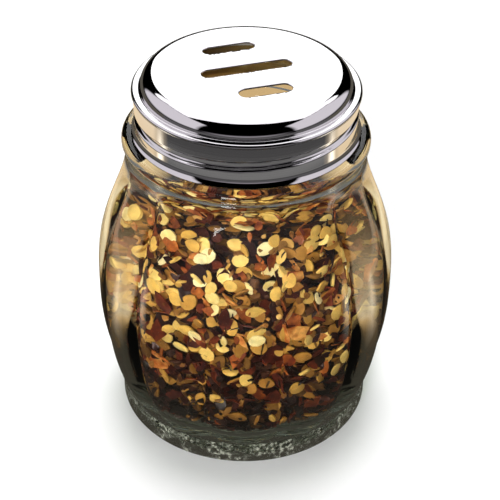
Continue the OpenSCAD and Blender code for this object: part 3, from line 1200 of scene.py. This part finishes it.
@dataclass
class PepperFill:
    """Crushed pepper: seeds, skins and crumbs against the glass and heaped on top, over a core kept near
    black as painted shade.

    The row fields and the jitter are shares of the spacing. Pairs hold the limits of a random range.
    """

    jar: GlassJar
    top_z: float = field(default_factory=lambda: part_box("pepper_fill")[1].z)
    heap_drop: float = 2 * MM
    glass_gap: float = 0.15 * MM
    layer_depths: tuple[float, ...] = (0.4 * MM, 1.6 * MM, 3.0 * MM)
    spacing: float = 2.6 * MM
    row_start: float = 0.4
    row_step: float = 0.9
    row_end: float = 0.3
    jitter: float = 0.45
    disc_jitter: float = 0.1
    hollow_h: float = 2 * MM
    hollow_count: int = 28
    hollow_reach: float = 3.5 * MM
    hollow_steps: tuple[int, int, int] = (2, 8, 10)
    core_in: float = 5.4 * MM
    core_end_share: float = 0.6
    core_bump: float = 0.8 * MM
    core_bump_l: float = 2 * MM
    # The core's tints keep it near black: painted shade in the gaps between the pieces.
    core_painted_shade_tints: tuple[float, float] = (0.0, 0.25)
    core_segments: int = 120
    seed_l: float = 4.0 * MM
    seed_w: float = 3.5 * MM
    seed_t: float = 0.75 * MM
    seed_tip: float = 0.35 * MM
    seed_tip_power: float = 6
    seed_rim_share: float = 0.16
    seed_dish_share: float = 0.25
    seed_spread: tuple[float, float] = (0.94, 1.06)
    seed_bend: tuple[float, float] = (-0.03, 0.03)
    seed_sides: int = 11
    skin_l: float = 4.4 * MM
    skin_t: float = 0.22 * MM
    skin_narrow: tuple[float, float] = (0.4, 0.85)
    skin_curl: tuple[float, float] = (-0.16, 0.16)
    skin_twist: tuple[float, float] = (-0.1, 0.1)
    skin_tear: tuple[float, float] = (0.62, 1.2)
    skin_sides: int = 8
    crumb_l: float = 1.5 * MM
    crumb_dents: tuple[float, float] = (0.6, 1.25)
    crumb_flat: float = 0.55
    shape_counts: dict[Kind, int] = field(
        default_factory=lambda: {Kind.SEEDS: 6, Kind.SKINS: 10, Kind.CRUMBS: 6}
    )
    sizes: dict[Kind, tuple[float, float]] = field(
        default_factory=lambda: {Kind.SEEDS: (0.75, 1.08), Kind.SKINS: (0.55, 1.5), Kind.CRUMBS: (0.5, 1.9)}
    )
    sharp_angles: dict[Kind, float] = field(
        default_factory=lambda: {Kind.SEEDS: 70, Kind.SKINS: 55, Kind.CRUMBS: 35}
    )
    seed_share: float = 0.2
    seed_share_rise: float = 0.16
    crumb_share: float = 0.26
    # The pieces' mean tint rises with height: painted shade darkens them towards the bottom and painted
    # light makes them paler towards the top.
    pale_rise: float = 1.4
    tint_low: float = 0.13
    tint_rise: float = 0.5
    tint_spread: float = 0.2
    tilt: float = 40
    # Factor that darkens the tint of deeper layers, raised to their buried share: painted shade between the
    # pieces.
    buried_painted_shade: float = 0.1
    wildness: int = 11

    def __post_init__(self) -> None:
        """Seeds the scatter and finds the rows of hollows up the glass."""
        self.chance = random.Random(self.wildness)
        jar = self.jar
        top_turn = math.degrees(math.asin((self.top_z - self.heap_drop - jar.body_z) / jar.top_arc))
        arcs = (
            (jar.corner_z, jar.floor_round, -90, jar.corner_turn),
            (jar.body_z, jar.low_arc, jar.corner_turn, 0),
            (jar.body_z, jar.top_arc, 0, top_turn),
        )
        heights = [
            middle + radius * math.sin(math.radians(start + (end - start) * i / steps))
            for (middle, radius, start, end), steps in zip(arcs, self.hollow_steps)
            for i in range(1, steps + 1)
        ]
        self.hollow_rows = heights[0:-1:2]

    def seed_shape(self) -> Mesh:
        """Shapes a flat round seed with a small beak and a raised rim.

        Returns:
            The seed's mesh.
        """
        bm = bmesh.new()
        bmesh.ops.create_circle(bm, cap_ends=True, segments=self.seed_sides, radius=0.5)
        for v in bm.verts:
            lean = max(0.0, v.co.x * 2) ** self.seed_tip_power
            v.co.x = v.co.x * self.seed_l + self.seed_tip * lean
            v.co.y = v.co.y * self.seed_w * self.chance.uniform(*self.seed_spread)
        body = bmesh.ops.extrude_face_region(bm, geom=bm.faces[:])
        lifted = [g for g in body["geom"] if isinstance(g, BMVert)]
        bmesh.ops.translate(bm, verts=lifted, vec=(0, 0, self.seed_t / 2))
        bmesh.ops.recalc_face_normals(bm, faces=bm.faces[:])
        caps = [f for f in bm.faces if len(f.verts) > 4]
        rim, dish = self.seed_w * self.seed_rim_share, self.seed_t * self.seed_dish_share
        bmesh.ops.inset_individual(bm, faces=caps, thickness=rim, depth=dish)
        bend = self.chance.uniform(*self.seed_bend) / MM
        for v in bm.verts:
            v.co.z += bend * v.co.x * v.co.x
        return mesh_from(bm, "seed_shape", self.sharp_angles[Kind.SEEDS])

    def skin_shape(self) -> Mesh:
        """Shapes a torn and curled scrap of dried skin.

        Returns:
            The scrap's mesh.
        """
        bm = bmesh.new()
        bmesh.ops.create_circle(bm, cap_ends=True, cap_tris=True, segments=self.skin_sides, radius=0.5)
        narrow = self.chance.uniform(*self.skin_narrow)
        curl = self.chance.uniform(*self.skin_curl) / MM
        twist = self.chance.uniform(*self.skin_twist) / MM
        for v in bm.verts:
            if v.co.length > 0:
                v.co *= self.chance.uniform(*self.skin_tear)
            v.co = Vector((v.co.x * self.skin_l, v.co.y * self.skin_l * narrow, 0))
            v.co.z = curl * v.co.y * v.co.y + twist * v.co.x * v.co.y
        bmesh.ops.solidify(bm, geom=bm.faces[:], thickness=self.skin_t)
        bmesh.ops.recalc_face_normals(bm, faces=bm.faces[:])
        return mesh_from(bm, "skin_shape", self.sharp_angles[Kind.SKINS])

    def crumb_shape(self) -> Mesh:
        """Shapes a small angular crumb.

        Returns:
            The crumb's mesh.
        """
        bm = bmesh.new()
        bmesh.ops.create_icosphere(bm, subdivisions=1, radius=self.crumb_l / 2)
        for v in bm.verts:
            v.co *= self.chance.uniform(*self.crumb_dents)
            v.co.z *= self.crumb_flat
        return mesh_from(bm, "crumb_shape", self.sharp_angles[Kind.CRUMBS])

    def heap_z(self, r: float) -> float:
        """Height of the heap's top at a radius."""
        return self.top_z - self.heap_drop * (r / self.jar.bore_radius(self.top_z - self.heap_drop)) ** 2

    def hollow(self, azimuth: float, z: float) -> float:
        """Depth of the hollows between the flakes that lie against the glass.

        Args:
            azimuth: Degrees from the front.
            z: Height on the wall.

        Returns:
            How far the flakes lie back there.
        """
        r = self.jar.bore_radius(z)
        pitch = 360 / self.hollow_count
        nearest = self.hollow_reach
        for row, row_z in enumerate(self.hollow_rows):
            along = math.hypot(row_z - z, self.jar.bore_radius(row_z) - r)
            if along < nearest:
                off = (azimuth / pitch + 0.5 * (row % 2) + 0.5) % 1 - 0.5
                nearest = min(nearest, math.hypot(along, r * math.radians(off * pitch)))
        return self.hollow_h * (1 - nearest / self.hollow_reach)

    def wall_spots(self, depth: float, buried: float) -> list[Spot]:
        """Places against the glass, in rows.

        Args:
            depth: Distance of the row's middle from the glass.
            buried: Share of the way to the last row. The first row's flakes are brought to the glass.

        Returns:
            The places.
        """
        spots = []
        z = self.jar.floor_t + self.spacing * self.row_start
        while z < self.top_z - self.heap_drop - self.spacing * self.row_end:
            slope = (self.jar.bore_radius(z + MM) - self.jar.bore_radius(z - MM)) / (2 * MM)
            count = round(math.tau * (self.jar.bore_radius(z) - depth) / self.spacing)
            for i in range(count):
                a = math.tau * (i + self.chance.uniform(-self.jitter, self.jitter)) / count
                height = z + self.chance.uniform(-self.jitter, self.jitter) * self.spacing
                out = Vector((math.sin(a), -math.cos(a), 0))
                inward = (Vector((0, 0, slope)) - out).normalized()
                back = self.hollow(math.degrees(a), height)
                wall = out * self.jar.bore_radius(height) + Vector((0, 0, height))
                point = wall + inward * (depth + back)
                spots.append(Spot(point, inward, buried, None if buried else self.glass_gap + back))
            z += self.spacing * self.row_step / math.sqrt(1 + slope * slope)
        return spots

    def disc_spots(
        self, height: Callable[[float], float], reach: float, up: float, buried: float
    ) -> list[Spot]:
        """Places spread evenly over a disc.

        Args:
            height: Height of the disc at a radius.
            reach: The disc's radius.
            up: 1 for a disc on top of the heap, -1 for one under it.
            buried: Share of the way to the last layer.

        Returns:
            The places.
        """
        count = round(math.pi * reach * reach / self.spacing ** 2)
        golden = math.pi * (3 - math.sqrt(5))
        spots = []
        for i in range(count):
            r = reach * math.sqrt((i + 0.5) / count)
            a = golden * i + self.chance.uniform(-self.disc_jitter, self.disc_jitter)
            point = Vector((r * math.cos(a), r * math.sin(a), height(r)))
            spots.append(Spot(point, Vector((0, 0, -up)), buried))
        return spots

    def laid(self, spot: Spot, shape: Mesh, size: float) -> Matrix:
        """Turns a shape at a place, flat side to the glass give or take a tilt, and keeps it off the glass.

        Args:
            spot: The place.
            shape: The shape.
            size: Its scale.

        Returns:
            Its matrix.
        """
        facing = spot.inward.to_track_quat("Z", "Y").to_matrix().to_4x4()
        lean = Matrix.Rotation(math.radians(self.chance.gauss(0, self.tilt)), 4, "X")
        spin = Matrix.Rotation(self.chance.uniform(0, math.tau), 4, "Z")
        turned = Matrix.Rotation(self.chance.uniform(0, math.tau), 4, "Z")
        matrix = Matrix.Translation(spot.point) @ facing @ turned @ lean @ spin @ Matrix.Scale(size, 4)
        room, drop = math.inf, 0.0
        for v in shape.vertices:
            p = matrix @ v.co
            room = min(room, self.jar.bore_radius(max(p.z, self.jar.floor_t)) - math.hypot(p.x, p.y))
            drop = max(drop, self.jar.floor_t + self.glass_gap - p.z)
        push = max(0.0, self.glass_gap - room) if spot.touch is None else spot.touch - room
        inward = Vector((-spot.point.x, -spot.point.y, 0)).normalized()
        return Matrix.Translation(inward * push + Vector((0, 0, drop))) @ matrix

    def core(self) -> Mesh:
        """Shapes the heart of the heap, which closes the gaps between the pieces; its near-black colour is
        painted shade for the deep gaps.

        Returns:
            The heart's mesh.
        """
        end = self.core_in * self.core_end_share
        low, high = self.jar.floor_t + end, self.top_z - end
        made = Outline(0, low)
        made.line(self.jar.bore_radius(low) - self.core_in, low, 10)
        made.follow(lambda z: self.jar.bore_radius(z) - self.core_in, low, high, 50)
        made.line(0, high, 10)
        bm = made.spun(self.core_segments)
        for v in bm.verts:
            v.co += v.normal * self.core_bump * noise.noise(v.co / self.core_bump_l)
        mesh = mesh_from(bm, "pepper_core")
        layer = mesh.attributes.new(Crumble.tint_name, "FLOAT", "POINT")
        # Painted shade: the core takes the darkest tints of the crumbs' finish.
        layer.data.foreach_set("value", [self.chance.uniform(*self.core_painted_shade_tints) for _ in mesh.vertices])
        return mesh

    def all_spots(self) -> list[Spot]:
        """Places against the glass, on the heap and under it, layer by layer.

        Returns:
            The places.
        """
        spots: list[Spot] = []
        top_reach = self.jar.bore_radius(self.top_z) - MM
        for i, depth in enumerate(self.layer_depths):
            buried = i / (len(self.layer_depths) - 1)
            spots += self.wall_spots(depth, buried)
            spots += self.disc_spots(lambda r, d=depth: self.heap_z(r) - d, top_reach, 1, buried)
        low_z = self.jar.floor_t + self.layer_depths[0]
        return spots + self.disc_spots(lambda r: low_z, self.jar.corner_x, -1, 0)

    def scatter(self) -> dict[Kind, Crumble]:
        """Lays all the pieces.

        Returns:
            The gathered seeds, skins and crumbs.
        """
        makers = {Kind.SEEDS: self.seed_shape, Kind.SKINS: self.skin_shape, Kind.CRUMBS: self.crumb_shape}
        heaps = {}
        for kind, make in makers.items():
            heaps[kind] = Crumble(kind.value, [make() for _ in range(self.shape_counts[kind])])
        for spot in self.all_spots():
            up = (spot.point.z - self.jar.floor_t) / (self.top_z - self.jar.floor_t)
            height = smooth_step(up * self.pale_rise)
            pick = self.chance.random()
            kind = Kind.SKINS
            if pick < self.seed_share + self.seed_share_rise * height:
                kind = Kind.SEEDS
            elif pick >= 1 - self.crumb_share:
                kind = Kind.CRUMBS
            heap = heaps[kind]
            shape = self.chance.choice(heap.shapes)
            size = self.chance.uniform(*self.sizes[kind])
            # Painted shade and light: the mean tint rises from the bottom of the heap to its top.
            tint = self.chance.gauss(self.tint_low + self.tint_rise * height, self.tint_spread)
            # Painted shade: buried pieces are darkened the deeper they lie.
            tint = max(0.0, min(1.0, tint * self.buried_painted_shade ** spot.buried))
            heap.add(shape, self.laid(spot, shape, size), tint)
        return heaps

    def dress(self) -> list[Object]:
        """Builds the contents and gives them their finishes.

        Returns:
            The pieces: seeds, skins, crumbs and the heart, which is finished like the crumbs in their
                darkest tints as painted shade.
        """
        heaps = self.scatter()
        finishes = {kind: finish.material() for kind, finish in PEPPER_FINISHES.items()}
        meshes = [(heap.mesh(self.sharp_angles[kind]), finishes[kind]) for kind, heap in heaps.items()]
        meshes.append((self.core(), finishes[Kind.CRUMBS]))
        pieces = [add_piece(mesh, made, Body.JAR, "pepper_fill") for mesh, made in meshes]
        for heap in heaps.values():
            for shape in heap.shapes:
                bpy.data.meshes.remove(shape)
        return pieces


@dataclass(frozen=True)
class Panel:
    """Flat light or card that only reflections see."""

    name: str
    size: tuple[float, float]
    place: Place
    aim: Place
    colour: Shade
    strength: float
    soft: float = 0.0

    def glow(self, place: Vector) -> float:
        """Share of the light at a place on the panel, from -0.5 to 0.5 each way, with soft edges."""
        room = min(0.5 - abs(place.x), 0.5 - abs(place.y))
        return smooth_step(2 * room / self.soft) if self.soft else 1.0


@dataclass(frozen=True)
class SoftLight:
    """Soft lamp that lights the surfaces and isn't mirrored by them."""

    name: str
    size: float
    place: Place
    power: float


@dataclass
class Studio:
    """Pale floor, soft lamps, mirrored panels and the camera at the photograph's angle.

    The floor is pale to the camera and in diffuse light, and runs out into white. In mirrors and through
    the glass it looks like the dark and golden cards that are laid out round a glass to give it edges.
    Mirrors also see a white strip on each side. Places on cards and strips are shares of card_reach.
    """

    floor_size: float = 6.0
    floor_colour: Colour = (0.9, 0.9, 0.9, 1.0)
    floor_roughness: float = 0.9
    floor_shine: float = 0.1
    floor_patch_scale: float = 6.0
    floor_patch_amount: float = 0.01
    floor_fade: tuple[float, float] = (0.2, 0.75)
    card_reach: float = 0.3
    card_blend: float = 0.03
    card_front: Stops = (
        (0.0, (0.05, 0.047, 0.036)),
        (0.16, (0.045, 0.042, 0.034)),
        (0.25, (0.03, 0.03, 0.028)),
        (0.47, (0.06, 0.06, 0.062)),
        (0.51, (0.22, 0.215, 0.21)),
        (0.535, (0.065, 0.063, 0.063)),
        (1.0, (0.1, 0.096, 0.1)),
    )
    card_back: Stops = (
        (0.0, (0.045, 0.042, 0.032)),
        (0.15, (0.045, 0.036, 0.022)),
        (0.2, (0.2, 0.12, 0.045)),
        (0.25, (0.72, 0.46, 0.2)),
        (0.3, (1.15, 0.92, 0.6)),
        (0.42, (0.95, 0.7, 0.4)),
        (0.6, (0.78, 0.54, 0.28)),
        (1.0, (0.7, 0.47, 0.23)),
    )
    card_mirrored: Stops = (
        (0.0, (0.04, 0.034, 0.026)),
        (0.4, (0.06, 0.045, 0.028)),
        (0.46, (0.85, 0.64, 0.38)),
        (0.6, (0.95, 0.8, 0.6)),
        (0.68, (0.12, 0.1, 0.08)),
        (1.0, (0.1, 0.09, 0.075)),
    )
    strip_colour: Shade = (2.6, 2.35, 1.9)
    strip_half_w: float = 0.016
    strip_start: tuple[float, float] = (0.2, 0.3)
    strip_end: tuple[float, float] = (0.56, 0.46)
    world_light: float = 0.12
    world_beyond: float = 0.2
    camera_place: Place = (0.0, -0.2969, 0.2595)
    camera_pitch: float = 36.21
    camera_roll: float = 0.566
    camera_lens: float = 105.0
    camera_sensor: float = 36.0
    camera_near: float = 0.01
    camera_shift: tuple[float, float] = (0.0099, 0.0048)
    aim: Place = (0.0, 0.0, 0.05)
    panel_cells: tuple[int, int] = (24, 12)
    lamps: tuple[SoftLight, ...] = (
        SoftLight("top_lamp", 0.5, (0.0, 0.25, 1.1), 13.0),
        SoftLight("front_lamp", 0.25, (-0.28, -0.9, 0.52), 8.5),
    )
    panels: tuple[Panel, ...] = (
        Panel("back_panel", (0.62, 0.84), (0.0, 1.05, 0.81), (0, 0, 0.81), (1.0, 1.0, 1.0), 1.6),
        Panel("top_panel", (2.2, 1.2), (0.0, 0.63, 1.2), (0, 0.63, 0), (0.95, 0.92, 0.96), 1.3),
        Panel("left_panel", (1.2, 0.9), (-0.65, 0.0, 0.55), (0, 0, 0.55), (0.83, 0.78, 0.84), 0.85, 0.15),
        Panel("right_panel", (1.2, 0.9), (0.65, 0.0, 0.55), (0, 0, 0.55), (0.83, 0.78, 0.84), 0.85, 0.15),
        Panel("front_panel", (1.4, 0.18), (0.0, -0.6, 0.08), (0, 0, 0.08), (0.85, 0.78, 0.86), 0.35, 0.9),
    )

    def card_colour(self, nodes: NodeSheet, where: NodeSocket, reach: NodeSocket, path: Node) -> NodeSocket:
        """Lays out the cards and strips.

        Args:
            nodes: The floor's nodes.
            where: Places on the floor.
            reach: Their distance from the middle.
            path: The floor's Light Path node.

        Returns:
            The socket of their colour.
        """
        distance = nodes.math("DIVIDE", reach, self.card_reach)
        axis = nodes.add("SeparateXYZ")
        nodes.feed(axis.inputs[0], where)
        mirror = path.outputs["Is Reflection Ray"]
        front = nodes.ramp(distance, self.card_front)
        beyond = nodes.ramp(distance, self.card_back)
        mirrored = nodes.ramp(distance, self.card_mirrored)
        behind = nodes.span(axis.outputs["Y"], -self.card_blend, self.card_blend)
        cards = nodes.mix(behind, front, nodes.mix(mirror, beyond, mirrored))
        strip = nodes.span(nodes.math("ABSOLUTE", axis.outputs["Y"]), self.strip_half_w, 0.0)
        for ends in (self.strip_start, self.strip_end):
            strip = nodes.math("MULTIPLY", strip, nodes.span(distance, *ends))
        return nodes.mix(nodes.math("MULTIPLY", strip, mirror), cards, (*self.strip_colour, 1.0))

    def add_floor(self) -> None:
        """Lays the floor."""
        bm = bmesh.new()
        bmesh.ops.create_grid(bm, x_segments=4, y_segments=4, size=self.floor_size / 2)
        floor = bpy.data.objects.new("floor", mesh_from(bm, "floor"))
        material, nodes, shader, output = new_material("pale_floor")
        patches = MottleGroup.placed(
            nodes, self.floor_colour, self.floor_patch_scale, self.floor_patch_amount,
        )
        nodes.set(
            shader, Base_Color=patches.outputs["Color"], Roughness=self.floor_roughness,
            Specular_IOR_Level=self.floor_shine,
        )
        where = nodes.place()
        reach = nodes.add("VectorMath", operation="LENGTH")
        nodes.feed(reach.inputs[0], where)
        path = nodes.add("LightPath")
        card = nodes.add("Emission")
        nodes.set(card, Color=self.card_colour(nodes, where, reach.outputs["Value"], path))
        direct = nodes.math("MAXIMUM", path.outputs["Is Camera Ray"], path.outputs["Is Diffuse Ray"])
        ground = nodes.blend(direct, card.outputs[0], shader.outputs["BSDF"])
        far = nodes.span(reach.outputs["Value"], *self.floor_fade)
        far = nodes.math("MULTIPLY", far, path.outputs["Is Camera Ray"])
        faded = nodes.blend(far, ground, nodes.add("Emission").outputs[0])
        nodes.feed(output.inputs["Surface"], faded)
        floor.data.materials.append(material)
        bpy.context.scene.collection.objects.link(floor)

    def add_world(self) -> None:
        """Gives surroundings that are white to the camera, dark in mirrors and dim to all else."""
        world = bpy.data.worlds.new("studio")
        world.use_nodes = True
        world.node_tree.nodes.clear()
        nodes = NodeSheet(world.node_tree)
        path = nodes.add("LightPath")
        mirrored = nodes.math("MULTIPLY", path.outputs["Is Glossy Ray"], self.world_light)
        light = nodes.math("SUBTRACT", self.world_light, mirrored)
        through = nodes.math("MULTIPLY", path.outputs["Is Transmission Ray"], self.world_beyond)
        light = nodes.math("MAXIMUM", light, through)
        back = nodes.add("Background")
        shown = nodes.math("MAXIMUM", light, path.outputs["Is Camera Ray"])
        nodes.set(back, Color=(1, 1, 1, 1), Strength=shown)
        output = nodes.add("OutputWorld")
        nodes.feed(output.inputs["Surface"], back.outputs[0])
        bpy.context.scene.world = world

    def add_panel(self, panel: Panel) -> None:
        """Hangs one panel.

        Args:
            panel: The panel.
        """
        bm = bmesh.new()
        across, up = self.panel_cells
        bmesh.ops.create_grid(bm, x_segments=across, y_segments=up, size=0.5)
        glows = [panel.glow(v.co) for v in bm.verts]
        facing = (Vector(panel.aim) - Vector(panel.place)).to_track_quat("Z", "Y").to_matrix().to_4x4()
        shape = Matrix.Diagonal((*panel.size, 1, 1))
        bmesh.ops.transform(bm, matrix=Matrix.Translation(panel.place) @ facing @ shape, verts=bm.verts[:])
        card = bpy.data.objects.new(panel.name, mesh_from(bm, panel.name))
        card.data.attributes.new("glow", "FLOAT", "POINT").data.foreach_set("value", glows)
        material = bpy.data.materials.new(panel.name)
        material.use_nodes = True
        material.node_tree.nodes.clear()
        nodes = NodeSheet(material.node_tree)
        glow = nodes.add("Emission")
        share = nodes.add("Attribute", attribute_name="glow").outputs["Fac"]
        nodes.set(glow, Color=(*panel.colour, 1.0), Strength=nodes.math("MULTIPLY", share, panel.strength))
        nodes.feed(nodes.add("OutputMaterial").inputs["Surface"], glow.outputs[0])
        card.data.materials.append(material)
        card.visible_camera = card.visible_diffuse = card.visible_shadow = card.visible_transmission = False
        bpy.context.scene.collection.objects.link(card)

    def add_lamp(self, lamp: SoftLight) -> None:
        """Hangs one lamp, turned towards the object.

        Args:
            lamp: The lamp.
        """
        data = bpy.data.lights.new(lamp.name, "AREA")
        data.shape, data.size, data.energy = "SQUARE", lamp.size, lamp.power
        light = bpy.data.objects.new(lamp.name, data)
        light.location = lamp.place
        light.rotation_euler = (Vector(lamp.place) - Vector(self.aim)).to_track_quat("Z", "Y").to_euler()
        light.visible_camera = light.visible_glossy = False
        bpy.context.scene.collection.objects.link(light)

    def add_camera(self) -> None:
        """Sets the camera where the photograph was taken from."""
        data = bpy.data.cameras.new("camera")
        data.lens, data.sensor_width = self.camera_lens, self.camera_sensor
        data.shift_x, data.shift_y = self.camera_shift
        data.clip_start = self.camera_near
        camera = bpy.data.objects.new("camera", data)
        pitch = Matrix.Rotation(math.radians(90 - self.camera_pitch), 4, "X")
        roll = Matrix.Rotation(math.radians(self.camera_roll), 4, "Z")
        camera.matrix_world = Matrix.Translation(self.camera_place) @ pitch @ roll
        bpy.context.scene.collection.objects.link(camera)
        bpy.context.scene.camera = camera

    def build(self) -> None:
        """Sets up everything round the object."""
        self.add_floor()
        self.add_world()
        for panel in self.panels:
            self.add_panel(panel)
        for lamp in self.lamps:
            self.add_lamp(lamp)
        self.add_camera()
        bpy.context.scene.view_settings.view_transform = "Standard"


def main() -> None:
    """Builds the shaker and its studio."""
    logging.basicConfig(level=logging.INFO, format="%(name)s: %(message)s")
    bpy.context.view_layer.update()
    jar = GlassJar()
    jar.dress(GlassFinish())
    ScrewLid().dress(ChromeFinish(), LacquerFinish())
    SealingRing().dress(RubberFinish())
    PepperFill(jar).dress()
    Studio().build()


if __name__ == "__main__":
    main()
